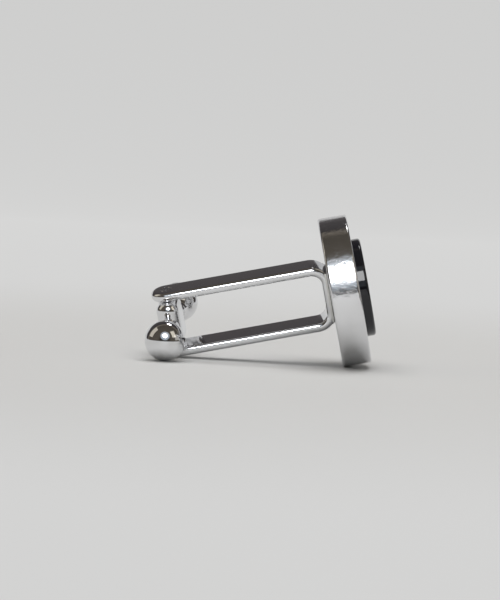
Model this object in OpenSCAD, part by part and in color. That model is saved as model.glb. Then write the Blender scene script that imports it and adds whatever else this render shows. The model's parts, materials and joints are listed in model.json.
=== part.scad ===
// Cufflink with a round head, a fork-shaped post and a ball-ended swivel bar.
// It is drawn as it lies on a table: on the rim of the head, one arm tip and one ball.
// Each piece is modelled about the head's own axis (x to the front, z along the pivot),
// and lying() then lays it down. The origin is on the table, under the middle of the whole.

/* [Head] */
// Diameter of the round head
head_d = 16; // [13:0.1:20]
// Thickness of the head
head_t = 3.1; // [2.2:0.1:4]
// Rounding of the rim's two edges
head_edge_r = 0.25; // [0.1:0.05:0.5]
// Depth of the seat that holds the stone
seat_depth = 1.1; // [0.7:0.1:1.6]

/* [Stone] */
// Diameter of the black stone disc
stone_d = 10.5; // [8:0.1:12]
// How far the stone stands in front of the head
stone_proud = 1; // [0.5:0.1:1.6]
// Rounding of the stone's front edge
stone_edge_r = 0.3; // [0.1:0.05:0.45]
// Gap between the stone and the wall of its seat
stone_clear = 0.03; // [0.02:0.01:0.08]
// Thickness of the cement bed under the stone
cement_t = 0.12; // [0.06:0.01:0.2]

/* [Post frame] */
// Length from the back of the head to the arm tips
reach = 18.8; // [17:0.1:22]
// Clear gap between the two arms
arm_gap = 5.4; // [5:0.1:6.2]
// Width of an arm across the pivot
arm_w = 3.2; // [2.8:0.1:3.6]
// Thickness of an arm along the pivot
arm_t = 1; // [0.95:0.05:1.3]
// Rounding of the long edges of the arms
arm_edge_r = 0.45; // [0.25:0.05:0.47]
// Inner radius of the two bends
bend_r = 1.1; // [0.8:0.1:1.8]
// Depth ground off the base to make a flat for the solder
base_grind = 0.3; // [0.15:0.05:0.5]
// Leg of the solder fillet beside the base
solder_leg = 0.3; // [0.15:0.05:0.5]

/* [Pivot pin] */
// Diameter of the pivot pin
pin_d = 1.1; // [0.9:0.05:1.2]
// Distance across the four flats that the springs click on
pin_flats = 0.86; // [0.76:0.02:0.88]
// Distance from the arm tips to the pin's centre
pin_inset = 1.6; // [1.3:0.05:2.1]
// Radial gap of the pin in the bores of the arms
pin_fit = 0.01; // [0.01:0.01:0.03]
// Radial running gap of the pin in the bores of the hub caps
pin_run = 0.03; // [0.02:0.01:0.06]

/* [Swivel hub] */
// Length of the hub along the bar
hub_l = 4.3; // [4.1:0.1:5.2]
// Width of the hub, in line with the bar's ball ends
hub_w = 2.4; // [2.3:0.05:2.6]
// Gap between the hub and each arm
hub_float = 0.05; // [0.03:0.01:0.1]
// Rounding of the hub's upper and lower edges, which nearly meet at the top
hub_edge_r = 1.1; // [0.7:0.05:1.14]
// Length of the chamber that holds the springs
chamber_l = 2.7; // [2.6:0.1:3]
// Width of the spring chamber
chamber_w = 1.24; // [1.22:0.01:1.3]
// Thickness of each hub cap
cap_t = 0.5; // [0.3:0.05:0.7]
// Width of the ledge that each hub cap sits on
cap_ledge = 0.12; // [0.08:0.01:0.13]
// Gap around a hub cap in its recess
cap_fit = 0.01; // [0.01:0.005:0.02]

/* [Leaf springs] */
// Thickness of a leaf spring
leaf_t = 0.12; // [0.08:0.01:0.16]
// Width of a leaf spring
leaf_w = 0.8; // [0.6:0.05:0.9]
// Gap between a leaf spring and what it bears on
leaf_gap = 0.02; // [0.01:0.005:0.03]

/* [Ball ends] */
// Diameter of each ball
ball_d = 4.3; // [3.7:0.1:4.8]
// Distance from the pivot axis to a ball's centre
ball_reach = 5.4; // [5.1:0.1:6.8]
// Diameter of the neck behind a ball
neck_d = 2.1; // [1.6:0.1:2.2]
// Radius of the cove that blends the neck into the ball
cove_r = 1.5; // [0.8:0.1:1.6]
// Diameter of the tenon that holds an end in the hub
tenon_d = 1; // [0.7:0.05:1.2]
// Gap around a tenon in its bore
tenon_fit = 0.01; // [0.01:0.005:0.02]
// Angle that the bar has swung from square to the frame, in degrees
bar_turn = 8.5; // [0:0.5:12]

/* [Hidden] */
$fn = 96;

silver = [0.8, 0.81, 0.83];
steel = [0.62, 0.63, 0.65];
solder = [0.7, 0.7, 0.68];
black = [0.05, 0.05, 0.06];
amber = [0.72, 0.62, 0.42];

head_r = head_d / 2;
stone_r = stone_d / 2;
ball_r = ball_d / 2;
pin_r = pin_d / 2;
neck_r = neck_d / 2;
arm_half = arm_w / 2;
// How far cutting shapes run past the surfaces that they cut
overrun = arm_t;

// Places along the head's axis, whose zero is the head's back face
seat_x = head_t - seat_depth;
stone_x = seat_x + cement_t;
stone_front = head_t + stone_proud;
bend_x = base_grind - arm_t - bend_r;
pivot_x = pin_inset - reach;
tip_x = arm_half - reach;

// Heights along the pivot axis, whose zero is midway between the arms
arm_in = arm_gap / 2;
arm_out = arm_in + arm_t;
bend_z = arm_in - bend_r;
hub_half = arm_in - hub_float;
chamber_half = hub_half - cap_t;

// Half the distance between the round ends of the hub and of its chamber
hub_ends = (hub_l - hub_w) / 2;
chamber_ends = (chamber_l - chamber_w) / 2;

// The bowed leaf bears on the pin at its middle and on the chamber's end wall at its tips
leaf_mid = pin_flats / 2 + leaf_gap;
leaf_wall = chamber_ends + sqrt(pow(chamber_w / 2, 2) - pow(leaf_w / 2, 2));
leaf_rise = leaf_wall - leaf_gap - leaf_t - leaf_mid;
leaf_half = chamber_half - cap_t / 4;
leaf_r = (pow(leaf_half, 2) + pow(leaf_rise, 2)) / (2 * leaf_rise);
leaf_angle = asin(leaf_half / leaf_r);

// The cove touches the neck where it starts and the ball where it ends
cove_axis = neck_r + cove_r;
cove_start = ball_reach - sqrt(pow(ball_r + cove_r, 2) - pow(cove_axis, 2));
cove_end = ball_reach - (ball_reach - cove_start) * ball_r / (ball_r + cove_r);
cove_end_r = cove_axis * ball_r / (ball_r + cove_r);

// Lying pose: the pitch lifts the head's front, and the roll brings the near ball down.
// Both follow from the rim, the lower arm tip and the near ball touching one table.
ball_back = ball_reach * sin(bar_turn);
ball_side = ball_reach * cos(bar_turn);
least_pitch = 2;
most_pitch = 35;
pitch_steps = 40;

function rim_drop(pitch) =
  (head_r - head_edge_r) * cos(pitch) - head_edge_r * sin(pitch) + head_edge_r;

function roll_at(pitch) =
  asin(min(1, max(-1,
    (rim_drop(pitch) - ball_r - (ball_back - pivot_x) * sin(pitch)) / (ball_side * cos(pitch)))));

function tip_drop(pitch, roll) =
  -tip_x * sin(pitch) + (arm_out - arm_edge_r) * cos(pitch) * cos(roll)
  + (arm_half - arm_edge_r) * norm([sin(pitch), cos(pitch) * sin(roll)]) + arm_edge_r;

function resting_pitch(low, high, steps) =
  let (mid = (low + high) / 2)
  steps == 0 ? mid :
  tip_drop(mid, roll_at(mid)) < rim_drop(mid) ? resting_pitch(mid, high, steps - 1) :
  resting_pitch(low, mid, steps - 1);

pitch = resting_pitch(least_pitch, most_pitch, pitch_steps);
roll = roll_at(pitch);

// Furthest points to the front and to the back once it lies down
head_front = (head_t - head_edge_r) * cos(pitch) + (head_r - head_edge_r) * sin(pitch)
  + head_edge_r;
stone_far = (stone_front - stone_edge_r) * cos(pitch) + (stone_r - stone_edge_r) * sin(pitch)
  + stone_edge_r;
near_back = (ball_back - pivot_x) * cos(pitch) - ball_side * sin(pitch) * sin(roll) + ball_r;
far_back = (-pivot_x - ball_back) * cos(pitch) + ball_side * sin(pitch) * sin(roll) + ball_r;
tip_back = -tip_x * cos(pitch) + (arm_out - arm_edge_r) * sin(pitch) * cos(roll)
  + (arm_half - arm_edge_r) * norm([cos(pitch), sin(pitch) * sin(roll)]) + arm_edge_r;
middle_x = (max(head_front, stone_far) - max(near_back, far_back, tip_back)) / 2;

module lying() {
  translate([-middle_x, 0, rim_drop(pitch)])
    rotate([roll, -pitch, 0])
      children();
}

// Turns a shape drawn along z so that it runs along the head's axis
module along_head() {
  rotate([0, 90, 0])
    children();
}

// Places the swivel bar's pieces on the pivot and turns them with it
module on_pivot() {
  translate([pivot_x, 0, 0])
    rotate([0, 0, -bar_turn])
      children();
}

// Flat rounded rectangle, centred
module round_corners(w, h, r) {
  square([w - 2 * r, h], center = true);
  square([w, h - 2 * r], center = true);
  for (x = [r - w / 2, w / 2 - r], y = [r - h / 2, h / 2 - r])
    translate([x, y])
      circle(r);
}

// Half profile of a disc with rounded edges, standing on the axis
module disc_profile(r, h, low_edge, high_edge) {
  intersection() {
    union() {
      square([r - max(low_edge, high_edge), h]);
      translate([0, low_edge])
        square([r, h - low_edge - high_edge]);
      if (low_edge > 0)
        translate([r - low_edge, low_edge])
          circle(low_edge);
      if (high_edge > 0)
        translate([r - high_edge, h - high_edge])
          circle(high_edge);
    }
    square([r, h]);
  }
}

// Upright block with two round ends, its length along y
module obround(ends, w, h) {
  translate([-w / 2, -ends, 0])
    cube([w, 2 * ends, h]);
  for (side = [-1, 1])
    translate([0, side * ends, 0])
      cylinder(d = w, h = h);
}

module head_disc() {
  color(silver)
    lying()
      along_head()
        difference() {
          rotate_extrude()
            disc_profile(head_r, head_t, head_edge_r, head_edge_r);
          translate([0, 0, seat_x])
            cylinder(r = stone_r + stone_clear, h = seat_depth + overrun);
        }
}

module stone_cement() {
  color(amber)
    lying()
      along_head()
        translate([0, 0, seat_x])
          cylinder(r = stone_r, h = cement_t);
}

module onyx_disc() {
  color(black)
    lying()
      along_head()
        translate([0, 0, stone_x])
          rotate_extrude()
            disc_profile(stone_r, stone_front - stone_x, 0, stone_edge_r);
}

// Cross-section of the frame's bar, its width along x
module bar_section() {
  round_corners(arm_w, arm_t, arm_edge_r);
}

// One arm with its bend and half of the base, above the middle plane
module half_frame() {
  translate([tip_x, 0, arm_in + arm_t / 2]) {
    rotate([90, 0, 90])
      linear_extrude(bend_x - tip_x)
        bar_section();
    rotate([0, 0, 90])
      rotate_extrude(angle = 180)
        intersection() {
          bar_section();
          translate([0, -arm_t])
            square(2 * arm_t);
        }
  }
  translate([bend_x, 0, bend_z])
    rotate([90, 0, 0])
      rotate_extrude(angle = 90)
        translate([bend_r + arm_t / 2, 0])
          rotate(90)
            bar_section();
  translate([bend_x + bend_r + arm_t / 2, 0, 0])
    linear_extrude(bend_z)
      rotate(90)
        bar_section();
}

module post_frame() {
  color(silver)
    lying()
      difference() {
        union() {
          half_frame();
          mirror([0, 0, 1])
            half_frame();
        }
        translate([0, -arm_w, -arm_out])
          cube([overrun, 2 * arm_w, 2 * arm_out]);
        translate([pivot_x, 0, -arm_out - overrun])
          cylinder(r = pin_r + pin_fit, h = 2 * (arm_out + overrun));
      }
}

// Silver solder drawn up the two sides of the base
module solder_seam() {
  color(solder)
    lying()
      for (side = [0, 1])
        mirror([0, side, 0])
          translate([0, arm_half, -bend_z])
            linear_extrude(2 * bend_z)
              difference() {
                translate([-solder_leg, 0])
                  square(solder_leg);
                translate([-solder_leg, solder_leg])
                  circle(solder_leg);
              }
}

// Round pin riveted flush in both arms, with four flats inside the hub
module pivot_pin() {
  color(steel)
    lying()
      on_pivot()
        difference() {
          translate([0, 0, -arm_out])
            cylinder(r = pin_r, h = 2 * arm_out);
          for (quarter = [0:3])
            rotate([0, 0, 90 * quarter])
              translate([pin_flats / 2, -pin_r, cap_t / 4 - chamber_half])
                cube([pin_r, pin_d, 2 * chamber_half - cap_t / 2]);
        }
}

// Outer form of the closed hub: a tall block with domed ends
module hub_form() {
  rotate([90, 0, 0])
    linear_extrude(2 * hub_ends, center = true)
      round_corners(hub_w, 2 * hub_half, hub_edge_r);
  for (side = [0, 1])
    mirror([0, side, 0])
      translate([0, hub_ends, 0])
        rotate_extrude(angle = 180)
          translate([0, -hub_half])
            disc_profile(hub_w / 2, 2 * hub_half, hub_edge_r, hub_edge_r);
}

module swivel_hub() {
  color(silver)
    lying()
      on_pivot()
        difference() {
          hub_form();
          translate([0, 0, -hub_half - overrun])
            obround(chamber_ends, chamber_w, 2 * (hub_half + overrun));
          for (z = [-hub_half - overrun, chamber_half])
            translate([0, 0, z])
              obround(chamber_ends, chamber_w + 2 * cap_ledge, cap_t + overrun);
          rotate([90, 0, 0])
            cylinder(d = tenon_d + 2 * tenon_fit, h = 2 * hub_l, center = true);
        }
}

// Cap that closes one end of the spring chamber, turns on the pin and carries on the hub's form
module hub_cap() {
  difference() {
    intersection() {
      hub_form();
      translate([0, 0, chamber_half])
        obround(chamber_ends, chamber_w + 2 * (cap_ledge - cap_fit), cap_t + overrun);
    }
    translate([0, 0, chamber_half - overrun])
      cylinder(r = pin_r + pin_run, h = cap_t + 2 * overrun);
  }
}

module hub_cap_upper() {
  color(steel)
    lying()
      on_pivot()
        hub_cap();
}

module hub_cap_lower() {
  color(steel)
    lying()
      on_pivot()
        mirror([0, 0, 1])
          hub_cap();
}

// Bowed leaf that presses on a flat of the pin, on the far side
module leaf_spring() {
  translate([0, leaf_mid + leaf_r, 0])
    rotate([0, 90, 0])
      rotate([0, 0, -90 - leaf_angle])
        rotate_extrude(angle = 2 * leaf_angle)
          translate([leaf_r - leaf_t, -leaf_w / 2])
            square([leaf_t, leaf_w]);
}

module leaf_spring_near() {
  color(steel)
    lying()
      on_pivot()
        mirror([0, 1, 0])
          leaf_spring();
}

module leaf_spring_far() {
  color(steel)
    lying()
      on_pivot()
        leaf_spring();
}

// Turned end with a ball, a coved neck and a tenon, drawn up along z from the pivot axis
module ball_end() {
  difference() {
    union() {
      rotate_extrude() {
        intersection() {
          translate([0, ball_reach])
            circle(ball_r);
          translate([0, cove_end])
            square([ball_d, ball_d]);
        }
        difference() {
          translate([0, cove_start])
            square([cove_end_r, cove_end - cove_start]);
          translate([cove_axis, cove_start])
            circle(cove_r);
        }
        translate([0, hub_ends])
          square([neck_r, cove_start - hub_ends]);
      }
    }
    translate([0, 0, hub_ends])
      rotate([0, 90, 0])
        cylinder(d = hub_w, h = 2 * hub_w, center = true);
  }
  translate([0, 0, chamber_l / 2])
    cylinder(d = tenon_d, h = (hub_l - chamber_l) / 2 + tenon_fit);
}

module ball_end_near() {
  color(silver)
    lying()
      on_pivot()
        rotate([90, 0, 0])
          rotate([0, 0, 90])
            ball_end();
}

module ball_end_far() {
  color(silver)
    lying()
      on_pivot()
        rotate([-90, 0, 0])
          rotate([0, 0, 90])
            ball_end();
}

head_disc();
stone_cement();
onyx_disc();
post_frame();
solder_seam();
pivot_pin();
swivel_hub();
hub_cap_upper();
hub_cap_lower();
leaf_spring_near();
leaf_spring_far();
ball_end_near();
ball_end_far();
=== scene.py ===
"""Looks of a swivel-bar cufflink with a black stone: pieces, finishes, lights and camera.

Each piece is modelled about the post's own axes (x to the head's front, z along the pivot pin,
zero at the pivot) or about the bar's (y along the bar, z along the pin), and is then laid down
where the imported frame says. Lengths are in metres.
"""

import json
import math

import bmesh
import bpy
from bpy.props import FloatProperty, FloatVectorProperty, PointerProperty
from mathutils import Matrix, Vector, noise


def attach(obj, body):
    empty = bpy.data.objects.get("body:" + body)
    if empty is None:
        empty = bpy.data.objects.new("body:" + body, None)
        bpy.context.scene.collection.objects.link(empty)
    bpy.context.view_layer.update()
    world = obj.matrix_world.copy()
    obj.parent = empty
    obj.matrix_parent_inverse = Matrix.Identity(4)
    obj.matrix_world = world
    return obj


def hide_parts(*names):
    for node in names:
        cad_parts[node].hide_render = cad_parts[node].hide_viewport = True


bl_info = {
    "name": "Swivel Bar Cufflink",
    "version": (1, 0, 0),
    "blender": (4, 5, 0),
    "location": "View3D > Sidebar > Cufflink",
    "description": "Builds a polished cufflink with a black stone round a packed frame",
    "category": "Add Mesh",
}

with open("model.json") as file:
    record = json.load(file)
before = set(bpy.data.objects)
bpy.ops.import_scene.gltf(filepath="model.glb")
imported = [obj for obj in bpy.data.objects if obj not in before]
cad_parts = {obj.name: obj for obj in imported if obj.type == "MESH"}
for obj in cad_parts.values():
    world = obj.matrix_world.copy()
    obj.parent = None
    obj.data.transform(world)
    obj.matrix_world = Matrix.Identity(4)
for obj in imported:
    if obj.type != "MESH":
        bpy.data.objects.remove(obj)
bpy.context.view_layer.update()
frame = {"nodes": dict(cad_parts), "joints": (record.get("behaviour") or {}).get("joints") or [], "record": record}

MM = 0.001
MERGE = 0.0005 * MM
TINY = 0.001 * MM
ORIGIN = Vector((0, 0, 0))
ALONG, ACROSS, UPWARD = Vector((1, 0, 0)), Vector((0, 1, 0)), Vector((0, 0, 1))
FULL_TURN, HALF_TURN, QUARTER_TURN = math.tau, math.pi, math.pi / 2
BAR_TURN = math.radians(8.5)
CREASE = math.radians(38)

# Steps round a full ring of each piece
HEAD_RING, STONE_RING, BALL_RING, HUB_RING, PIN_RING = 288, 256, 128, 96, 64
# Steps along the curves
RIM_STEPS, STONE_EDGE_STEPS, SECTION_STEPS, BEND_STEPS, TIP_STEPS = 12, 14, 8, 28, 40
FILLET_STEPS, BALL_STEPS, COVE_STEPS, SWEEP_STEPS = 8, 64, 20, 32
SEAM_STEPS, DOME_STEPS, CAP_STEPS = 5, 16, 7

# How often each pattern repeats in a metre
METAL_LINES, STONE_LINES, LINE_PATCHES = 420.0, 380.0, 90.0
SMEARS, TURNED_SMEARS = 260.0, 420.0
DUST, STONE_DUST, DUST_PATCHES = 5200.0, 4300.0, 700.0
BUFFING, RIM_WAVES, STONE_CLOUDS = 5600.0, 2400.0, 190.0
SOLDER_FLOW, BUBBLES, BOARD_TONE, BOARD_TOOTH = 2600.0, 3100.0, 9.0, 2600.0
# How wide the scratches are, as a share of their pattern's range
METAL_LINE_WIDTH, STONE_LINE_WIDTH = 0.07, 0.018

# How much each mark dulls the metal, the most they dull it together, and what tint they leave
SMEAR_DULLS, DUST_DULLS, MOST_DULL = 0.6, 0.8, 1.5
SMEAR_TINT, DUST_TINT = 0.93, 0.62

# How far from the object the table starts to lose its shading, and where it has none left
SHADED_REACH, PLAIN_REACH = 0.03, 0.14
# How bright the far table and the backdrop are, as a share of the table's colour
FAR_SHARE = 0.93


def post_home():
    """Matrix that lays the post's own axes, with zero at the pivot, in the row frame."""
    pivot = next(j for j in frame["joints"] if j["name"] == "bar_swivel")
    face = next(m for m in frame["record"]["mounts"] if m["name"] == "display_face")
    up = Vector(pivot["axis"]).normalized()
    along = Vector(face["axis"]).normalized()
    turn = Matrix((along, up.cross(along), up)).transposed()
    return Matrix.Translation(pivot["pos_m"]) @ turn.to_4x4()


POST_HOME = post_home()
BAR_HOME = POST_HOME @ Matrix.Rotation(-BAR_TURN, 4, "Z")


def spans(node, home):
    """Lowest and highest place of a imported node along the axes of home."""
    inverse = home.inverted()
    places = [inverse @ v.co for v in frame["nodes"][node].data.vertices]
    low = Vector([min(p[i] for p in places) for i in range(3)])
    high = Vector([max(p[i] for p in places) for i in range(3)])
    return low, high


def whole(measure, step=0.05 * MM):
    """A measured length, taken to the step that the real sizes are in."""
    return round(measure / step) * step


HEAD = spans("head_disc", POST_HOME)
STONE = spans("onyx_disc", POST_HOME)
FORK = spans("post_frame", POST_HOME)
PIN = spans("pivot_pin", POST_HOME)
HUB = spans("swivel_hub", BAR_HOME)
CAP = spans("hub_cap_upper", BAR_HOME)
NEAR_END = spans("ball_end_near", BAR_HOME)


def length(name, words, default):
    return FloatProperty(name=name, description=words, default=default, unit="LENGTH", precision=6)


def degrees(name, words, amount):
    return FloatProperty(name=name, description=words, default=math.radians(amount),
                         subtype="ANGLE")


def power(name, words, watts):
    return FloatProperty(name=name, description=words, default=watts, subtype="POWER")


def colour(name, words, default):
    return FloatVectorProperty(name=name, description=words, default=default, size=3,
                               min=0.0, max=1.0, subtype="COLOR")


class CuffHeadSizes(bpy.types.PropertyGroup):
    """Sizes of the round head and its stone"""

    back: length("Back", "Place of the head's back face", whole(HEAD[0].x))
    front: length("Front", "Place of the head's front face", whole(HEAD[1].x))
    radius: length("Radius", "Radius of the head", whole(HEAD[1].y))
    edge: length("Edge", "Rounding of the rim's edges", 0.25 * MM)
    seat_depth: length("Seat depth", "Depth of the stone's seat", 1.1 * MM)
    seat_gap: length("Seat gap", "Gap between the stone and its seat", 0.03 * MM)
    stone_radius: length("Stone radius", "Radius of the stone", whole(STONE[1].y))
    stone_front: length("Stone front", "Place of the stone's front face", whole(STONE[1].x))
    stone_edge: length("Stone edge", "Rounding of the stone's front edge", 0.3 * MM)
    cement: length("Cement", "Thickness of the cement bed", 0.12 * MM)


class CuffForkSizes(bpy.types.PropertyGroup):
    """Sizes of the fork, its solder and its pin"""

    tip: length("Tip", "Place of the arm tips", whole(FORK[0].x))
    half_width: length("Half width", "Half the width of an arm", whole(FORK[1].y))
    outside: length("Outside", "Half the height over both arms", whole(FORK[1].z))
    thickness: length("Thickness", "Thickness of an arm", 1.0 * MM)
    edge: length("Edge", "Rounding of the arms' long edges", 0.45 * MM)
    bend: length("Bend", "Inner radius of the bends", 1.1 * MM)
    grind: length("Grind", "Depth ground off the base", 0.3 * MM)
    solder: length("Solder", "Leg of the solder fillet", 0.28 * MM)
    pin_radius: length("Pin radius", "Radius of the pivot pin", whole(PIN[1].y, 0.01 * MM))
    pin_flats: length("Pin flats", "Half the distance across the pin's flats", 0.43 * MM)
    pin_flats_end: length("Flats' end", "Where the pin's flats end, from its middle", 2.025 * MM)
    pin_gap: length("Pin gap", "Gap of the pin in the arms", 0.01 * MM)
    pin_edge: length("Pin edge", "Bevel of the pin and of its bore", 0.04 * MM)
    collar: length("Collar", "How far past the pivot the bore's flat face runs", 1.6 * MM)


class CuffBarSizes(bpy.types.PropertyGroup):
    """Sizes of the swivel bar"""

    hub_half_width: length("Hub half width", "Half the hub's width", whole(HUB[1].x))
    hub_end: length("Hub end", "Half the hub's length", whole(HUB[1].y))
    hub_top: length("Hub top", "Half the height over both caps", whole(CAP[1].z, 0.01 * MM))
    hub_edge: length("Hub edge", "Rounding of the hub's top and bottom", 1.1 * MM)
    chamber_half_width: length("Chamber", "Half the width of the spring chamber", 0.62 * MM)
    chamber_end: length("Chamber end", "Half the length of the chamber", 1.35 * MM)
    cap: length("Cap", "Thickness of a hub cap", 0.5 * MM)
    ledge: length("Ledge", "Width of the ledge under a cap", 0.12 * MM)
    seam: length("Seam", "Gap round a cap", 0.01 * MM)
    seam_edge: length("Seam edge", "Bevel along the seam", 0.03 * MM)
    cap_bore: length("Cap bore", "Radius of the pin's bore in a cap", 0.58 * MM)
    ball_radius: length("Ball radius", "Radius of a ball", whole(NEAR_END[1].x))
    ball_reach: length("Ball reach", "From the pivot to a ball's centre",
                       -whole(NEAR_END[0].y) - whole(NEAR_END[1].x))
    neck: length("Neck", "Radius of the necks", 1.05 * MM)
    cove: length("Cove", "Radius of the cove behind a ball", 1.5 * MM)


class CuffFinishes(bpy.types.PropertyGroup):
    """Colours of the finishes"""

    plate: colour("Plate", "Rhodium plated metal", (0.80, 0.805, 0.82))
    stone: colour("Stone", "Black stone", (0.010, 0.010, 0.012))
    dust: colour("Dust", "Dust on the black stone", (0.16, 0.155, 0.15))
    pin: colour("Pin", "Turned steel of the pin and caps", (0.66, 0.665, 0.68))
    spring: colour("Spring", "Spring steel", (0.40, 0.41, 0.46))
    solder: colour("Solder", "Plated solder", (0.74, 0.74, 0.73))
    cement: colour("Cement", "Amber cement", (0.62, 0.47, 0.24))
    table: colour("Table", "Pale table and backdrop", (0.66, 0.66, 0.655))
    studio: colour("Studio", "Warm grey of the studio over the camera", (0.105, 0.092, 0.076))
    far_studio: colour("Far studio", "Grey of the studio behind the object", (0.072, 0.066, 0.067))


class CuffStage(bpy.types.PropertyGroup):
    """Camera and lights, placed about the middle of the head's back face"""

    azimuth: degrees("Azimuth", "Turn of the camera about the object", 0.58)
    elevation: degrees("Elevation", "Height of the camera as an angle", 3.56)
    roll: degrees("Roll", "Roll of the camera", 2.89)
    distance: length("Distance", "From the camera to the object", 324.0 * MM)
    lens: FloatProperty(name="Lens", description="Focal length in millimetres", default=182.0)
    aim_left: length("Aim left", "How far the view's middle lies left of the head", 8.55 * MM)
    aim_down: length("Aim down", "How far the view's middle lies under the head", 0.74 * MM)
    table_half: length("Table", "Half the width of the table", 0.6)
    sweep: length("Sweep", "Radius of the curve from the table to the backdrop", 0.25)
    sweep_start: length("Sweep start", "How far behind the object the table curves up", 0.35)
    backdrop: length("Backdrop", "Height of the backdrop's top", 0.3)
    top_light: power("Top light", "Power of the small soft box overhead", 0.045)
    front_light: power("Front light", "Power of the round soft box in front", 0.085)
    front_core: power("Front core", "Power of the bright middle of that box", 0.28)
    side_light: power("Side light", "Power of each panel at the sides", 0.045)
    room_light: power("Room light", "Power of the broad light on the table", 3.6)


def sizes(group):
    return getattr(bpy.context.scene, group)


def new_line(bm, vert, place):
    """Draws a straight edge from vert to place, and returns the new end."""
    end = bmesh.ops.extrude_vert_indiv(bm, verts=[vert])["verts"][0]
    end.co = place
    return end


def new_arc(bm, vert, centre, axis, angle, steps):
    """Draws an arc from vert about centre, and returns its end."""
    made = bmesh.ops.spin(bm, geom=[vert], cent=centre, axis=axis, angle=angle, steps=steps,
                          use_duplicate=False)
    return made["geom_last"][0]


def ends_of(edges):
    """The vertices of edges, each once, in the order that the edges give."""
    return list(dict.fromkeys(v for e in edges for v in e.verts))


def revolve(bm, edges, centre, axis, steps):
    """Turns edges once round an axis into a closed skin."""
    bmesh.ops.spin(bm, geom=[*ends_of(edges), *edges], cent=centre, axis=axis, angle=FULL_TURN,
                   steps=steps, use_merge=True, use_duplicate=False)


def close_up(bm):
    """Merges seams and poles and points every face outwards."""
    bmesh.ops.remove_doubles(bm, verts=bm.verts, dist=MERGE)
    bmesh.ops.dissolve_degenerate(bm, edges=bm.edges, dist=MERGE)
    bmesh.ops.recalc_face_normals(bm, faces=bm.faces)


def make_piece(bm, name, home, finish, body, nodes):
    """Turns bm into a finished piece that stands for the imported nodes."""
    close_up(bm)
    bmesh.ops.transform(bm, matrix=home, verts=bm.verts)
    for face in bm.faces:
        face.smooth = True
    for edge in bm.edges:
        edge.smooth = edge.is_manifold and edge.calc_face_angle(0) < CREASE
    mesh = bpy.data.meshes.new(name)
    bm.to_mesh(mesh)
    bm.free()
    piece = bpy.data.objects.new(name, mesh)
    bpy.context.scene.collection.objects.link(piece)
    piece.data.materials.append(bpy.data.materials[finish])
    even = piece.modifiers.new("Even shading", "WEIGHTED_NORMAL")
    even.keep_sharp = True
    even.weight = 100
    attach(piece, body)
    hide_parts(*nodes)


def shade(rgb, share):
    return tuple(channel * share for channel in rgb)


class Graph:
    """The nodes of a material, a group or the world, with a short call for each kind in use."""

    def __init__(self, tree):
        self.nodes, self.links = tree.nodes, tree.links

    def feed(self, socket, value):
        """Links an output to a socket, or sets the socket's own value."""
        if isinstance(value, bpy.types.NodeSocket):
            self.links.new(value, socket)
        elif socket.type == "RGBA":
            socket.default_value = (*value, 1.0)
        else:
            socket.default_value = value

    def add(self, kind, inputs, **settings):
        """Adds a node whose inputs are named by label or by place, and returns its outputs."""
        node = self.nodes.new("ShaderNode" + kind)
        for name, value in settings.items():
            setattr(node, name, value)
        for label, value in inputs.items():
            self.feed(node.inputs[label], value)
        return node.outputs

    def group(self, name, vector, *numbers):
        return self.add("Group", dict(enumerate((vector, *numbers))),
                        node_tree=bpy.data.node_groups[name])

    def local(self, home):
        """Object coordinates turned to the axes of home, so that a pattern follows the piece."""
        inverse = home.inverted()
        return self.add("Mapping", {"Vector": self.add("TexCoord", {})["Object"],
                                    "Location": inverse.to_translation(),
                                    "Rotation": inverse.to_euler("XYZ")})["Vector"]

    def calc(self, operation, *values):
        return self.add("Math", dict(enumerate(values)), operation=operation)[0]

    def noise(self, vector, scale, detail=2.0, rough=0.5):
        return self.add("TexNoise", {"Vector": vector, "Scale": scale, "Detail": detail,
                                     "Roughness": rough})["Fac"]

    def span(self, value, low, high, to_low=0.0, to_high=1.0, curve="SMOOTHSTEP"):
        """Carries low and high to two other ends. What lies past them stays at the ends."""
        return self.add("MapRange", {"Value": value, "From Min": low, "From Max": high,
                                     "To Min": to_low, "To Max": to_high},
                        interpolation_type=curve)["Result"]

    def mix(self, mask, first, second, kind="RGBA"):
        return self.add("Mix", {"Factor": mask, "A": first, "B": second}, data_type=kind)["Result"]

    def bump(self, height, distance, normal=None):
        inputs = {"Height": height, "Distance": distance}
        if normal is not None:
            inputs["Normal"] = normal
        return self.add("Bump", inputs)["Normal"]


def new_group(name, numbers, masks):
    """Makes a shader group that reads a vector and the named numbers, and gives the masks."""
    tree = bpy.data.node_groups.new(name, "ShaderNodeTree")
    tree.interface.new_socket("Vector", in_out="INPUT", socket_type="NodeSocketVector")
    for label in numbers:
        tree.interface.new_socket(label, in_out="INPUT", socket_type="NodeSocketFloat")
    for label in masks:
        tree.interface.new_socket(label, in_out="OUTPUT", socket_type="NodeSocketFloat")
    start, end = tree.nodes.new("NodeGroupInput"), tree.nodes.new("NodeGroupOutput")
    return Graph(tree), start.outputs, end.inputs


def hairline_group():
    """Fine straight scratches, left by polishing and wear, three ways across the xy plane."""
    graph, given, result = new_group("Polishing hairlines", ("Scale", "Width"), ("Mask",))
    least_spread = 22.0
    total = 0.0
    for tilt, spread in ((0.35, least_spread), (-0.75, 30.0), (1.25, 26.0)):
        drawn_out = graph.add("Mapping", {"Vector": given["Vector"], "Rotation": (0.0, 0.0, tilt),
                                          "Scale": (1.0, 1 / spread, 1 / spread)},
                              vector_type="TEXTURE")["Vector"]
        streak = graph.noise(drawn_out, given["Scale"], 1.0)
        away = graph.calc("ABSOLUTE", graph.calc("SUBTRACT", streak, 0.5))
        line = graph.span(away, 0.0, given["Width"], 1.0, 0.0)
        patches = graph.noise(drawn_out, LINE_PATCHES * spread / least_spread, 1.0)
        patch = graph.span(patches, 0.5, 0.62)
        total = graph.calc("MAXIMUM", total, graph.calc("MULTIPLY", line, patch))
    graph.feed(result["Mask"], total)


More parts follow.
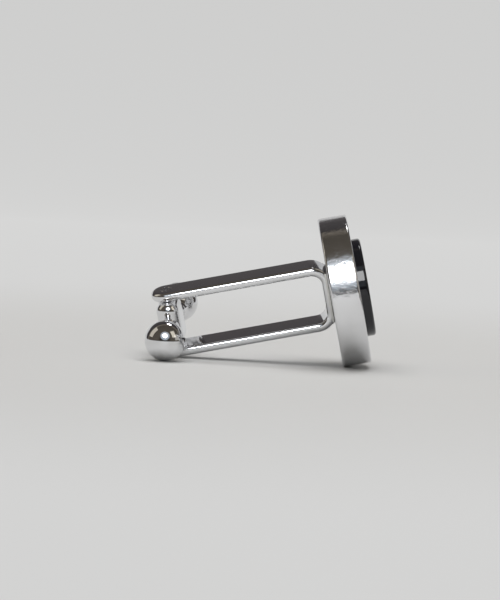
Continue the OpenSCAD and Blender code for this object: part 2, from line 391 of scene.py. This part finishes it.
def handling_group():
    """Faint smears and dust that handling leaves on a polished surface."""
    graph, given, result = new_group("Handling marks", ("Smear Scale", "Dust Scale"),
                                     ("Smear", "Dust"))
    smear = graph.noise(given["Vector"], given["Smear Scale"], 4.0, 0.6)
    graph.feed(result["Smear"], graph.span(smear, 0.46, 0.72))
    cells = graph.add("TexVoronoi", {"Vector": given["Vector"], "Scale": given["Dust Scale"]})
    speck = graph.span(cells["Distance"], 0.05, 0.16, 1.0, 0.0)
    patch = graph.span(graph.noise(given["Vector"], DUST_PATCHES), 0.56, 0.66)
    graph.feed(result["Dust"], graph.calc("MULTIPLY", speck, patch))


def new_material(name, metallic=0.0, roughness=0.3):
    """Makes a material, and returns its graph and its Principled shader."""
    material = bpy.data.materials.new(name)
    material.use_nodes = True
    shader = material.node_tree.nodes["Principled BSDF"]
    shader.inputs["Metallic"].default_value = metallic
    shader.inputs["Roughness"].default_value = roughness
    return Graph(material.node_tree), shader


def laid_flat(graph, vector):
    """The head's surface laid flat, round its rim or across its faces, and the rim's mask."""
    head = sizes("cuff_head")
    x, y, z = graph.add("SeparateXYZ", {"Vector": vector})
    reach = graph.calc("SQRT", graph.calc("MULTIPLY_ADD", y, y, graph.calc("MULTIPLY", z, z)))
    round_rim = graph.calc("MULTIPLY", graph.calc("ARCTAN2", z, y), head.radius)
    across, around = (graph.add("CombineXYZ", dict(enumerate(axes)))["Vector"]
                      for axes in ((y, z, x), (x, round_rim, reach)))
    rounding = head.radius - head.edge / 2
    on_rim = graph.calc("GREATER_THAN", reach, rounding)
    rim = graph.span(reach, head.radius - 2 * head.edge, rounding)
    return graph.mix(on_rim, across, around, "VECTOR"), rim


def metal_finish(name, rgb, home, gloss, hairline, scratch, grain, wave=0.0):
    """Polished metal: hairlines, smears and dust in the gloss, and a fine grain left by buffing.

    gloss is the least and the most roughness, hairline how strong the scratches are, and scratch
    and grain are depths. With wave, the head's rim also gets shallow waves of that depth.
    """
    graph, shader = new_material(name, 1.0)
    vector = graph.local(home)
    flat, rim = laid_flat(graph, vector) if wave else (vector, None)
    lines = graph.group("Polishing hairlines", flat, METAL_LINES, METAL_LINE_WIDTH)
    marks = graph.group("Handling marks", vector, SMEARS, DUST)
    worn = graph.calc("MULTIPLY", lines["Mask"], hairline)
    smeared = graph.calc("MULTIPLY_ADD", marks["Smear"], SMEAR_DULLS, worn)
    dull = graph.calc("MULTIPLY_ADD", marks["Dust"], DUST_DULLS, smeared)
    graph.feed(shader.inputs["Roughness"], graph.span(dull, 0.0, MOST_DULL, *gloss, "LINEAR"))
    tint = graph.mix(marks["Smear"], rgb, shade(rgb, SMEAR_TINT))
    graph.feed(shader.inputs["Base Color"], graph.mix(marks["Dust"], tint, shade(rgb, DUST_TINT)))
    normal = graph.bump(graph.noise(vector, BUFFING, 2.0, 0.6), grain)
    if wave:
        swell = graph.calc("SUBTRACT", graph.noise(vector, RIM_WAVES, 3.0, 0.6), 0.5)
        normal = graph.bump(graph.calc("MULTIPLY", swell, rim), wave, normal)
    cut = graph.calc("MULTIPLY", worn, -1.0)
    graph.feed(shader.inputs["Normal"], graph.bump(cut, scratch, normal))


def stone_finish(rgb, dust):
    """Opaque black stone with a high polish, faint cloudy bands and a little dust."""
    graph, shader = new_material("black_stone", roughness=0.04)
    vector = graph.local(POST_HOME)
    bands = graph.span(graph.noise(vector, STONE_CLOUDS, 5.0, 0.62), 0.45, 0.7)
    marks = graph.group("Handling marks", vector, SMEARS, STONE_DUST)
    lines = graph.group("Polishing hairlines", vector, STONE_LINES, STONE_LINE_WIDTH)
    line_dulls, dust_dulls, most_dull, cloud_tint = 0.5, 1.5, 2.5, 1.9
    clouded = graph.mix(bands, rgb, shade(rgb, cloud_tint))
    graph.feed(shader.inputs["Base Color"], graph.mix(marks["Dust"], clouded, dust))
    worn = graph.calc("MULTIPLY_ADD", lines["Mask"], line_dulls, marks["Smear"])
    dull = graph.calc("MULTIPLY_ADD", marks["Dust"], dust_dulls, worn)
    graph.feed(shader.inputs["Roughness"], graph.span(dull, 0.0, most_dull, 0.025, 0.3, "LINEAR"))
    shader.inputs["IOR"].default_value = 1.54
    shader.inputs["Coat Weight"].default_value = 1.0
    shader.inputs["Coat Roughness"].default_value = 0.02
    shader.inputs["Coat IOR"].default_value = 1.65
    cut = graph.calc("MULTIPLY", lines["Mask"], -1.0)
    graph.feed(shader.inputs["Normal"], graph.bump(cut, 0.0004 * MM))


def turned_finish(name, rgb, home, ring_scale, rough):
    """Steel with the fine rings that a lathe leaves about the pivot axis."""
    graph, shader = new_material(name, 1.0, rough)
    vector = graph.local(home)
    rings = graph.add("TexWave", {"Vector": vector, "Scale": ring_scale, "Distortion": 0.35,
                                  "Detail": 1.0}, wave_type="RINGS", rings_direction="Z")["Fac"]
    marks = graph.group("Handling marks", vector, TURNED_SMEARS, DUST)
    graph.feed(shader.inputs["Base Color"], graph.mix(marks["Smear"], rgb, shade(rgb, 0.86)))
    graph.feed(shader.inputs["Roughness"], graph.span(rings, 0.0, 1.0, rough * 0.7, rough * 1.3))
    graph.feed(shader.inputs["Normal"], graph.bump(rings, 0.0012 * MM))


def solder_finish(rgb):
    """Plated solder, a little softer than the polished metal beside it."""
    graph, shader = new_material("silver_solder", 1.0, 0.2)
    flow = graph.noise(graph.local(POST_HOME), SOLDER_FLOW, 3.0, 0.55)
    graph.feed(shader.inputs["Roughness"], graph.span(flow, 0.3, 0.7, 0.1, 0.34))
    graph.feed(shader.inputs["Base Color"], graph.mix(flow, shade(rgb, 0.8), rgb))
    graph.feed(shader.inputs["Normal"], graph.bump(flow, 0.02 * MM))


def cement_finish(rgb):
    """Cured amber cement with small bubbles."""
    graph, shader = new_material("cement", roughness=0.22)
    cells = graph.add("TexVoronoi", {"Vector": graph.local(POST_HOME), "Scale": BUBBLES})
    bubble = graph.span(cells["Distance"], 0.08, 0.2, 1.0, 0.0)
    graph.feed(shader.inputs["Base Color"], graph.mix(bubble, rgb, shade(rgb, 0.7)))
    graph.feed(shader.inputs["Normal"], graph.bump(bubble, 0.01 * MM))


def table_finish(rgb):
    """Matt pale board with a fine tooth. Far from the object it is evenly bright by itself."""
    graph, shader = new_material("pale_table", roughness=0.62)
    vector = graph.add("TexCoord", {})["Object"]
    reach = graph.add("VectorMath", {0: vector}, operation="LENGTH")["Value"]
    path = graph.add("LightPath", {})
    seen = graph.calc("MAXIMUM", path["Is Camera Ray"], path["Is Glossy Ray"])
    far = graph.calc("MULTIPLY", seen, graph.span(reach, SHADED_REACH, PLAIN_REACH))
    tone = graph.noise(vector, BOARD_TONE, 3.0)
    board = graph.mix(tone, shade(rgb, 0.985), shade(rgb, 1.015))
    graph.feed(shader.inputs["Base Color"], graph.mix(far, board, (0.0, 0.0, 0.0)))
    shader.inputs["Emission Color"].default_value = (*shade(rgb, FAR_SHARE), 1.0)
    graph.feed(shader.inputs["Emission Strength"], far)
    tooth = graph.noise(vector, BOARD_TOOTH, 3.0, 0.6)
    graph.feed(shader.inputs["Normal"], graph.bump(tooth, 0.012 * MM))
    shader.inputs["Specular IOR Level"].default_value = 0.25


class CUFFLINK_OT_finishes(bpy.types.Operator):
    """Make the finishes that the pieces share"""

    bl_idname = "cufflink.finishes"
    bl_label = "Finishes"

    def execute(self, context):
        tones = sizes("cuff_finishes")
        hairline_group()
        handling_group()
        metal_finish("plated_head", tones.plate, POST_HOME, gloss=(0.10, 0.30), hairline=0.75,
                     scratch=0.0007 * MM, grain=0.0006 * MM, wave=0.022 * MM)
        metal_finish("plated_fork", tones.plate, POST_HOME, gloss=(0.06, 0.20), hairline=0.5,
                     scratch=0.0004 * MM, grain=0.0004 * MM)
        metal_finish("plated_bar", tones.plate, BAR_HOME, gloss=(0.035, 0.17), hairline=0.6,
                     scratch=0.0004 * MM, grain=0.0002 * MM)
        stone_finish(tones.stone, tones.dust)
        turned_finish("turned_pin", tones.pin, POST_HOME, ring_scale=9000.0, rough=0.16)
        turned_finish("turned_cap", tones.pin, BAR_HOME, ring_scale=7000.0, rough=0.12)
        turned_finish("spring_strip", tones.spring, BAR_HOME, ring_scale=12000.0, rough=0.3)
        solder_finish(tones.solder)
        cement_finish(tones.cement)
        table_finish(tones.table)
        for node, name in (("stone_cement", "cement"), ("leaf_spring_near", "spring_strip"),
                           ("leaf_spring_far", "spring_strip")):
            skin = frame["nodes"][node].data.materials
            skin.clear()
            skin.append(bpy.data.materials[name])
        return {"FINISHED"}


class CUFFLINK_OT_head(bpy.types.Operator):
    """Turn the round head, with its rounded rim and the stone's seat"""

    bl_idname = "cufflink.head"
    bl_label = "Head"

    def execute(self, context):
        size = sizes("cuff_head")
        seat = size.stone_radius + size.seat_gap
        floor = size.front - size.seat_depth
        lip = size.seat_gap
        rim = size.radius - size.edge
        bm = bmesh.new()
        point = bm.verts.new((size.back, 0, 0))
        point = new_line(bm, point, (size.back, 0, rim))
        point = new_arc(bm, point, (size.back + size.edge, 0, rim), ACROSS, QUARTER_TURN, RIM_STEPS)
        point = new_line(bm, point, (size.front - size.edge, 0, size.radius))
        point = new_arc(bm, point, (size.front - size.edge, 0, rim), ACROSS, QUARTER_TURN,
                        RIM_STEPS)
        point = new_line(bm, point, (size.front, 0, seat + lip))
        point = new_line(bm, point, (size.front - lip, 0, seat))
        point = new_line(bm, point, (floor, 0, seat))
        new_line(bm, point, (floor, 0, 0))
        revolve(bm, bm.edges[:], ORIGIN, ALONG, HEAD_RING)
        make_piece(bm, "polished_head", POST_HOME, "plated_head", "head_and_frame",
                   ["head_disc"])
        return {"FINISHED"}


class CUFFLINK_OT_stone(bpy.types.Operator):
    """Cut the black stone disc with its polished edge"""

    bl_idname = "cufflink.stone"
    bl_label = "Stone"

    def execute(self, context):
        size = sizes("cuff_head")
        bed = size.front - size.seat_depth + size.cement
        rim = size.stone_radius - size.stone_edge
        shoulder = size.stone_front - size.stone_edge
        bm = bmesh.new()
        point = bm.verts.new((bed, 0, 0))
        point = new_line(bm, point, (bed, 0, size.stone_radius))
        point = new_line(bm, point, (shoulder, 0, size.stone_radius))
        point = new_arc(bm, point, (shoulder, 0, rim), ACROSS, QUARTER_TURN, STONE_EDGE_STEPS)
        new_line(bm, point, (size.stone_front, 0, 0))
        revolve(bm, bm.edges[:], ORIGIN, ALONG, STONE_RING)
        make_piece(bm, "black_stone_disc", POST_HOME, "black_stone", "head_and_frame",
                   ["onyx_disc"])
        return {"FINISHED"}


def section_wire(bm, width, height, edge, centre):
    """Rounded rectangle as a closed wire square to the arms, with points at its two middles."""
    made = bmesh.ops.create_grid(bm, x_segments=1, y_segments=1, size=0.5)
    bmesh.ops.scale(bm, vec=(width, height, 1), verts=made["verts"])
    bmesh.ops.bevel(bm, geom=made["verts"], offset=edge, segments=SECTION_STEPS, profile=0.5,
                    affect="VERTICES", material=-1)
    bmesh.ops.delete(bm, geom=bm.faces[:], context="FACES_ONLY")
    bmesh.ops.bisect_plane(bm, geom=[*bm.verts, *bm.edges], plane_co=ORIGIN, plane_no=ALONG)
    turn = Matrix(((0, 0, 1), (1, 0, 0), (0, 1, 0))).to_4x4()
    bmesh.ops.transform(bm, matrix=Matrix.Translation(centre) @ turn, verts=bm.verts)
    return bm.edges[:]


def run_on(bm, edges, step):
    """Runs a section straight on by step, and returns its new edges."""
    made = bmesh.ops.extrude_edge_only(bm, edges=edges)["geom"]
    bmesh.ops.translate(bm, vec=step, verts=[g for g in made if isinstance(g, bmesh.types.BMVert)])
    return [g for g in made if isinstance(g, bmesh.types.BMEdge)]


def turn_on(bm, edges, centre, axis, angle, steps):
    """Sweeps a section round an axis, and returns its new edges."""
    made = bmesh.ops.spin(bm, geom=[*ends_of(edges), *edges], cent=centre, axis=axis, angle=angle,
                          steps=steps, use_duplicate=False)["geom_last"]
    return [g for g in made if isinstance(g, bmesh.types.BMEdge)]


def ring(bm, radius, centre, segments=PIN_RING):
    """Closed circle about the pin's axis."""
    made = bmesh.ops.create_circle(bm, cap_ends=False, radius=radius, segments=segments,
                                   matrix=Matrix.Translation(centre))
    return list(dict.fromkeys(e for v in made["verts"] for e in v.link_edges))


def bridge_all(bm, loops):
    """Joins each loop to the next one by faces."""
    for first, second in zip(loops, loops[1:]):
        bmesh.ops.bridge_loops(bm, edges=[*first, *second])


def bore_arm(bm, size, side):
    """Opens the arm's two flat faces round the pin and joins them by the wall of the bore."""
    rim = size.pin_radius + size.pin_gap
    outer, inner = side * size.outside, side * (size.outside - size.thickness)
    flat = size.half_width - size.edge + TINY
    borders = []
    for level in (outer, inner):
        faces = [f for f in bm.faces if all(
            abs(v.co.z - level) < TINY and abs(v.co.y) < flat and v.co.x < size.collar + TINY
            for v in f.verts)]
        borders.append([e for f in faces for e in f.edges
                        if sum(f in faces for f in e.link_faces) == 1])
        bmesh.ops.delete(bm, geom=faces, context="FACES")
    mouth = ring(bm, rim + size.pin_edge, (0, 0, outer))
    throat = ring(bm, rim, (0, 0, outer - side * size.pin_edge))
    foot = ring(bm, rim, (0, 0, inner))
    bridge_all(bm, [borders[0], mouth, throat, foot, borders[1]])


class CUFFLINK_OT_fork(bpy.types.Operator):
    """Sweep the fork's rounded bar through arms, bends and base, round its tips and bore them"""

    bl_idname = "cufflink.fork"
    bl_label = "Fork"

    def execute(self, context):
        size, head = sizes("cuff_fork"), sizes("cuff_head")
        middle = size.outside - size.thickness / 2
        tip = size.tip + size.half_width
        bend_x = head.back + size.grind - size.thickness - size.bend
        bend_z = size.outside - size.thickness - size.bend
        bm = bmesh.new()
        first = section_wire(bm, 2 * size.half_width, size.thickness, size.edge, (tip, 0, middle))
        wire = run_on(bm, first, (size.collar - tip, 0, 0))
        wire = run_on(bm, wire, (bend_x - size.collar, 0, 0))
        wire = turn_on(bm, wire, (bend_x, 0, bend_z), ACROSS, QUARTER_TURN, BEND_STEPS)
        wire = run_on(bm, wire, (0, 0, -2 * bend_z))
        wire = turn_on(bm, wire, (bend_x, 0, -bend_z), ACROSS, QUARTER_TURN, BEND_STEPS)
        wire = run_on(bm, wire, (size.collar - bend_x, 0, 0))
        last = run_on(bm, wire, (tip - size.collar, 0, 0))
        for edges in (first, last):
            half = [e for e in edges if all(v.co.y > -TINY for v in e.verts)]
            turn_on(bm, half, (tip, 0, 0), UPWARD, HALF_TURN, TIP_STEPS)
        bmesh.ops.remove_doubles(bm, verts=bm.verts, dist=TINY)
        for side in (1, -1):
            bore_arm(bm, size, side)
        cut = bmesh.ops.bisect_plane(bm, geom=[*bm.verts, *bm.edges, *bm.faces],
                                     plane_co=(head.back, 0, 0), plane_no=ALONG, clear_outer=True)
        border = [g for g in cut["geom_cut"] if isinstance(g, bmesh.types.BMEdge)]
        bmesh.ops.contextual_create(bm, geom=border)
        make_piece(bm, "polished_fork", POST_HOME, "plated_fork", "head_and_frame",
                   ["post_frame"])
        return {"FINISHED"}


class CUFFLINK_OT_solder(bpy.types.Operator):
    """Run the solder's hollow fillet round the base of the fork"""

    bl_idname = "cufflink.solder"
    bl_label = "Solder"

    def execute(self, context):
        size, head = sizes("cuff_fork"), sizes("cuff_head")
        bend_x = size.grind - size.thickness - size.bend
        bend_z = size.outside - size.thickness - size.bend
        outer = size.bend + size.thickness
        foot = bend_z + math.sqrt(outer ** 2 - bend_x ** 2)
        shoulder = bend_z + math.sqrt(outer ** 2 - (bend_x + size.solder) ** 2)
        end_spread, ripple, ripple_size, flush = 0.35, 0.1, 0.45 * MM, 0.01 * MM
        bm = bmesh.new()
        inner = section_wire(bm, 2 * size.half_width, 2 * foot, size.edge / 2, (head.back, 0, 0))
        long_sides = [e for e in inner if e.calc_length() > size.edge]
        bmesh.ops.subdivide_edges(bm, edges=long_sides, cuts=16)
        inner = bm.edges[:]
        wire, place = inner, Vector((head.back, size.half_width, foot))
        for k in range(FILLET_STEPS + 1):
            turn = QUARTER_TURN * k / FILLET_STEPS
            out, rise = size.solder * (1 - math.sin(turn)), size.solder * (1 - math.cos(turn))
            end = foot + (shoulder - foot) * rise / size.solder + end_spread * out
            goal = Vector((head.back - rise, size.half_width + out, end))
            wire = run_on(bm, wire, (goal.x - place.x, 0, 0))
            bmesh.ops.scale(bm, vec=(1, goal.y / place.y, goal.z / place.z),
                            verts=ends_of(wire))
            place = goal
        bmesh.ops.bridge_loops(bm, edges=[*wire, *inner])
        for vert in bm.verts:
            if head.back - vert.co.x > flush:
                wave = noise.noise(vert.co / ripple_size)
                vert.co.y += math.copysign(ripple * size.solder * wave, vert.co.y)
        make_piece(bm, "solder_fillet", POST_HOME, "silver_solder", "head_and_frame",
                   ["solder_seam"])
        return {"FINISHED"}


class CUFFLINK_OT_pin(bpy.types.Operator):
    """Draw the riveted pin with its four flats inside the hub"""

    bl_idname = "cufflink.pin"
    bl_label = "Pin"

    def execute(self, context):
        size = sizes("cuff_fork")
        edge = size.pin_edge
        half = [(size.pin_flats_end, size.pin_radius, True),
                (size.pin_flats_end, size.pin_radius, False),
                (size.outside - edge, size.pin_radius, False),
                (size.outside, size.pin_radius - edge, False)]
        bm = bmesh.new()
        loops = []
        other_half = [(-level, radius, flat) for level, radius, flat in reversed(half)]
        for level, radius, flat in [*other_half, *half]:
            loop = ring(bm, radius, (0, 0, level))
            if flat:
                for vert in ends_of(loop):
                    vert.co.x = max(-size.pin_flats, min(size.pin_flats, vert.co.x))
                    vert.co.y = max(-size.pin_flats, min(size.pin_flats, vert.co.y))
            loops.append(loop)
        bridge_all(bm, loops)
        for loop in (loops[0], loops[-1]):
            bmesh.ops.contextual_create(bm, geom=loop)
        make_piece(bm, "riveted_pin", BAR_HOME, "turned_pin", "head_and_frame",
                   ["pivot_pin"])
        return {"FINISHED"}


def crown_height(size, x, y):
    """Height of the hub's domed top over a place in its plan."""
    spine = size.hub_end - size.hub_half_width
    away = math.hypot(x, max(0.0, abs(y) - spine))
    inward = max(0.0, away - (size.hub_half_width - size.hub_edge))
    return size.hub_top - size.hub_edge + math.sqrt(max(0.0, size.hub_edge ** 2 - inward ** 2))


def long_loop(bm, radius, spine, z):
    """Closed loop with two round ends, its length along y."""
    edges = ring(bm, radius, (0, 0, z), HUB_RING)
    verts = ends_of(edges)
    bmesh.ops.rotate(bm, verts=verts, cent=ORIGIN,
                     matrix=Matrix.Rotation(HALF_TURN / HUB_RING, 3, "Z"))
    for side in (1, -1):
        bmesh.ops.translate(bm, vec=(0, side * spine, 0),
                            verts=[v for v in verts if v.co.y * side > 0])
    return edges


def crowned_loop(bm, size, radius, spine, side, sink=0.0):
    """Long loop that lies on the hub's dome, or under it by sink."""
    edges = long_loop(bm, radius, spine, 0)
    for vert in ends_of(edges):
        vert.co.z = side * (crown_height(size, vert.co.x, vert.co.y) - sink)
    return edges


class CUFFLINK_OT_hub(bpy.types.Operator):
    """Form the domed hub round its spring chamber, and the two caps that close it"""

    bl_idname = "cufflink.hub"
    bl_label = "Hub"

    def half_dome(self, bm, size, side):
        """Loops from the ledge under a cap, over the seam and down the dome to the hub's side."""
        outer_spine = size.hub_end - size.hub_half_width
        inner_spine = size.chamber_end - size.chamber_half_width
        recess = size.chamber_half_width + size.ledge
        start = recess + size.seam_edge
        loops = [long_loop(bm, recess, inner_spine, side * (size.hub_top - size.cap)),
                 crowned_loop(bm, size, recess, inner_spine, side, size.seam_edge),
                 crowned_loop(bm, size, start, inner_spine, side)]
        crown = size.hub_half_width - size.hub_edge
        first = math.asin((recess + 2 * size.seam_edge - crown) / size.hub_edge)
        for k in range(1, SEAM_STEPS):
            share = k / SEAM_STEPS
            loops.append(crowned_loop(bm, size, start + share * size.seam_edge,
                                      inner_spine + share * (outer_spine - inner_spine), side))
        for k in range(DOME_STEPS + 1):
            lean = first + (QUARTER_TURN - first) * k / DOME_STEPS
            loops.append(crowned_loop(bm, size, crown + size.hub_edge * math.sin(lean),
                                      outer_spine, side))
        return loops

    def make_hub(self):
        size = sizes("cuff_bar")
        inner_spine = size.chamber_end - size.chamber_half_width
        ledge_z = size.hub_top - size.cap
        bm = bmesh.new()
        chamber = [long_loop(bm, size.chamber_half_width, inner_spine, z)
                   for z in (-ledge_z, ledge_z)]
        upper = self.half_dome(bm, size, 1)
        lower = self.half_dome(bm, size, -1)
        bridge_all(bm, [*chamber, *upper, *reversed(lower), chamber[0]])
        make_piece(bm, "domed_hub", BAR_HOME, "plated_bar", "swivel_bar",
                   ["swivel_hub"])

    def make_cap(self, name, node, side):
        size = sizes("cuff_bar")
        spine = size.chamber_end - size.chamber_half_width
        radius = size.chamber_half_width + size.ledge - size.seam
        inside = side * (size.hub_top - size.cap)
        bm = bmesh.new()
        loops = [ring(bm, size.cap_bore, (0, 0, inside), HUB_RING),
                 long_loop(bm, radius, spine, inside),
                 crowned_loop(bm, size, radius, spine, side, size.seam_edge)]
        top = radius - size.seam_edge
        for k in range(CAP_STEPS + 1):
            share = k / CAP_STEPS
            loops.append(crowned_loop(bm, size, top + share * (size.cap_bore - top),
                                      spine * (1 - share), side))
        bridge_all(bm, [*loops, loops[0]])
        make_piece(bm, name, BAR_HOME, "turned_cap", "swivel_bar", [node])

    def execute(self, context):
        self.make_hub()
        self.make_cap("upper_hub_cap", "hub_cap_upper", 1)
        self.make_cap("lower_hub_cap", "hub_cap_lower", -1)
        return {"FINISHED"}


class CUFFLINK_OT_balls(bpy.types.Operator):
    """Turn the two ball ends with their coved necks"""

    bl_idname = "cufflink.balls"
    bl_label = "Ball ends"

    def make_end(self, name, node, side):
        size = sizes("cuff_bar")
        spine = size.hub_end - size.hub_half_width
        apart = size.ball_radius + size.cove
        cove_axis = size.neck + size.cove
        back = math.sqrt(apart ** 2 - cove_axis ** 2)
        cove_y = size.ball_reach - back
        slope = math.atan2(back, cove_axis)
        bm = bmesh.new()
        point = bm.verts.new((0, size.ball_reach + size.ball_radius, 0))
        point = new_arc(bm, point, (0, size.ball_reach, 0), UPWARD, -(QUARTER_TURN + slope),
                        BALL_STEPS)
        point = new_arc(bm, point, (cove_axis, cove_y, 0), UPWARD, QUARTER_TURN - slope,
                        COVE_STEPS)
        new_line(bm, point, (size.neck, size.hub_end, 0))
        revolve(bm, bm.edges[:], ORIGIN, ACROSS, BALL_RING)
        bmesh.ops.remove_doubles(bm, verts=bm.verts, dist=TINY)
        seat = [v for v in bm.verts if v.co.y < size.hub_end + TINY]
        for vert in seat:
            vert.co.y = spine + math.sqrt(size.hub_half_width ** 2 - vert.co.x ** 2)
        border = [e for e in bm.edges if all(v in seat for v in e.verts)]
        bmesh.ops.contextual_create(bm, geom=border)
        if side < 0:
            bmesh.ops.rotate(bm, verts=bm.verts, cent=ORIGIN,
                             matrix=Matrix.Rotation(HALF_TURN, 3, "Z"))
        make_piece(bm, name, BAR_HOME, "plated_bar", "swivel_bar", [node])

    def execute(self, context):
        self.make_end("near_ball_end", "ball_end_near", -1)
        self.make_end("far_ball_end", "ball_end_far", 1)
        return {"FINISHED"}


def add_stage_mesh(bm, name, material):
    mesh = bpy.data.meshes.new(name)
    bmesh.ops.recalc_face_normals(bm, faces=bm.faces)
    for face in bm.faces:
        face.smooth = True
    bm.to_mesh(mesh)
    bm.free()
    thing = bpy.data.objects.new(name, mesh)
    mesh.materials.append(material)
    bpy.context.scene.collection.objects.link(thing)


WHITE, CREAM = (1.0, 1.0, 1.0), (1.0, 0.93, 0.79)
PALE_CREAM, PALE_BLUE = (1.0, 0.97, 0.92), (0.80, 0.90, 1.0)
AIM, UNDER_ROOM = (-0.002, 0, 0.006), (0, 0.0501, 0)
# Each lamp's name, shape, width, height, property that holds its power, place, aim and tint
LAMPS = (
    ("top_box", "RECTANGLE", 0.06, 0.04, "top_light", (0.036, 0.10, 0.229), AIM, WHITE),
    ("front_box", "DISK", 0.26, 0.26, "front_light", (-0.005, -0.25, 0.15), AIM, PALE_BLUE),
    ("front_core", "DISK", 0.115, 0.115, "front_core", (-0.005, -0.245, 0.152), AIM, WHITE),
    ("left_panel", "RECTANGLE", 0.13, 0.22, "side_light", (-0.25, -0.005, 0.165), AIM, CREAM),
    ("right_panel", "RECTANGLE", 0.12, 0.18, "side_light", (0.20, -0.13, 0.185), AIM, CREAM),
    ("face_panel", "RECTANGLE", 0.24, 0.17, "side_light", (0.34, -0.06, 0.12), AIM, PALE_CREAM),
    ("room_light", "RECTANGLE", 0.7, 0.7, "room_light", (0, 0.05, 0.6), UNDER_ROOM, WHITE),
)


class CUFFLINK_OT_stage(bpy.types.Operator):
    """Set out the pale table, the soft lights and the camera"""

    bl_idname = "cufflink.stage"
    bl_label = "Stage"

    def add_table(self, stage):
        bm = bmesh.new()
        left, depth = -stage.table_half, stage.sweep_start
        point = bm.verts.new((left, -stage.table_half, 0))
        point = new_line(bm, point, (left, depth, 0))
        point = new_arc(bm, point, (left, depth, stage.sweep), ALONG, QUARTER_TURN, SWEEP_STEPS)
        new_line(bm, point, (left, depth + stage.sweep, stage.backdrop))
        run_on(bm, bm.edges[:], (2 * stage.table_half, 0, 0))
        add_stage_mesh(bm, "pale_table", bpy.data.materials["pale_table"])

    def add_lights(self, stage):
        made = {}
        for name, shape, width, height, source, place, aim, tint in LAMPS:
            lamp = bpy.data.lights.new(name, "AREA")
            lamp.color = tint
            lamp.shape = shape
            lamp.size = width
            lamp.size_y = height
            lamp.energy = getattr(stage, source)
            thing = bpy.data.objects.new(name, lamp)
            bpy.context.scene.collection.objects.link(thing)
            thing.location = place
            away = Vector(aim) - Vector(place)
            thing.rotation_euler = away.to_track_quat("-Z", "Y").to_euler()
            made[name] = thing
        made["front_core"].visible_diffuse = False
        made["room_light"].visible_glossy = False

    def add_world(self, tones):
        """Studio walls that the metal mirrors. The camera sees the table's tone instead."""
        world = bpy.data.worlds.new("studio")
        bpy.context.scene.world = world
        world.use_nodes = True
        graph = Graph(world.node_tree)
        _, depth, _ = graph.add("SeparateXYZ", {"Vector": graph.add("TexCoord", {})["Generated"]})
        ramp = graph.nodes.new("ShaderNodeValToRGB")
        ramp.color_ramp.interpolation = "EASE"
        near, far = tones.studio, tones.far_studio
        stops = ((0.02, near, 0.25), (0.14, near, 0.9), (0.58, near, 0.7), (0.645, near, 2.0),
                 (0.67, far, 0.5), (0.72, far, 0.75), (0.85, far, 0.9), (1.0, far, 2.0))
        while len(ramp.color_ramp.elements) < len(stops):
            ramp.color_ramp.elements.new(1.0)
        for element, (place, grey, share) in zip(ramp.color_ramp.elements, stops):
            element.position = place
            element.color = (*shade(grey, share), 1.0)
        graph.feed(ramp.inputs["Fac"], graph.span(depth, -1.0, 1.0, curve="LINEAR"))
        seen = graph.mix(graph.add("LightPath", {})["Is Camera Ray"], ramp.outputs["Color"],
                         shade(tones.table, FAR_SHARE))
        graph.feed(graph.nodes["Background"].inputs["Color"], seen)

    def add_camera(self, stage, head):
        turn, rise, roll = stage.azimuth, stage.elevation, stage.roll
        level = Vector((math.cos(turn), math.sin(turn), 0))
        back = Vector((math.sin(turn) * math.cos(rise), -math.cos(turn) * math.cos(rise),
                       math.sin(rise)))
        right = level * math.cos(roll) + back.cross(level) * math.sin(roll)
        up = back.cross(right)
        aim = POST_HOME @ Vector((head.back, 0, 0)) - right * stage.aim_left - up * stage.aim_down
        data = bpy.data.cameras.new("camera")
        data.sensor_width = 36.0
        data.lens = stage.lens
        data.clip_start, data.clip_end = 0.01, 5.0
        camera = bpy.data.objects.new("camera", data)
        bpy.context.scene.collection.objects.link(camera)
        camera.matrix_world = (Matrix.Translation(aim + back * stage.distance)
                               @ Matrix((right, up, back)).transposed().to_4x4())
        bpy.context.scene.camera = camera

    def execute(self, context):
        stage = sizes("cuff_stage")
        self.add_table(stage)
        self.add_lights(stage)
        self.add_world(sizes("cuff_finishes"))
        self.add_camera(stage, sizes("cuff_head"))
        bpy.context.scene.view_settings.view_transform = "Standard"
        return {"FINISHED"}


STEPS = (
    CUFFLINK_OT_finishes,
    CUFFLINK_OT_head,
    CUFFLINK_OT_stone,
    CUFFLINK_OT_fork,
    CUFFLINK_OT_solder,
    CUFFLINK_OT_pin,
    CUFFLINK_OT_hub,
    CUFFLINK_OT_balls,
    CUFFLINK_OT_stage,
)
GROUPS = {
    "cuff_head": CuffHeadSizes,
    "cuff_fork": CuffForkSizes,
    "cuff_bar": CuffBarSizes,
    "cuff_finishes": CuffFinishes,
    "cuff_stage": CuffStage,
}


class CUFFLINK_PT_steps(bpy.types.Panel):
    """Lists the steps that build the cufflink"""

    bl_label = "Cufflink"
    bl_idname = "CUFFLINK_PT_steps"
    bl_space_type = "VIEW_3D"
    bl_region_type = "UI"
    bl_category = "Cufflink"

    def draw(self, context):
        for step in STEPS:
            self.layout.operator(step.bl_idname)


def register():
    for group in GROUPS.values():
        bpy.utils.register_class(group)
    for step in STEPS:
        bpy.utils.register_class(step)
    bpy.utils.register_class(CUFFLINK_PT_steps)
    for name, group in GROUPS.items():
        setattr(bpy.types.Scene, name, PointerProperty(type=group))


def unregister():
    for name in GROUPS:
        delattr(bpy.types.Scene, name)
    bpy.utils.unregister_class(CUFFLINK_PT_steps)
    for step in reversed(STEPS):
        bpy.utils.unregister_class(step)
    for group in reversed(GROUPS.values()):
        bpy.utils.unregister_class(group)


def main():
    register()
    for step in STEPS:
        area, name = step.bl_idname.split(".")
        getattr(getattr(bpy.ops, area), name)()


if __name__ == "__main__":
    main()
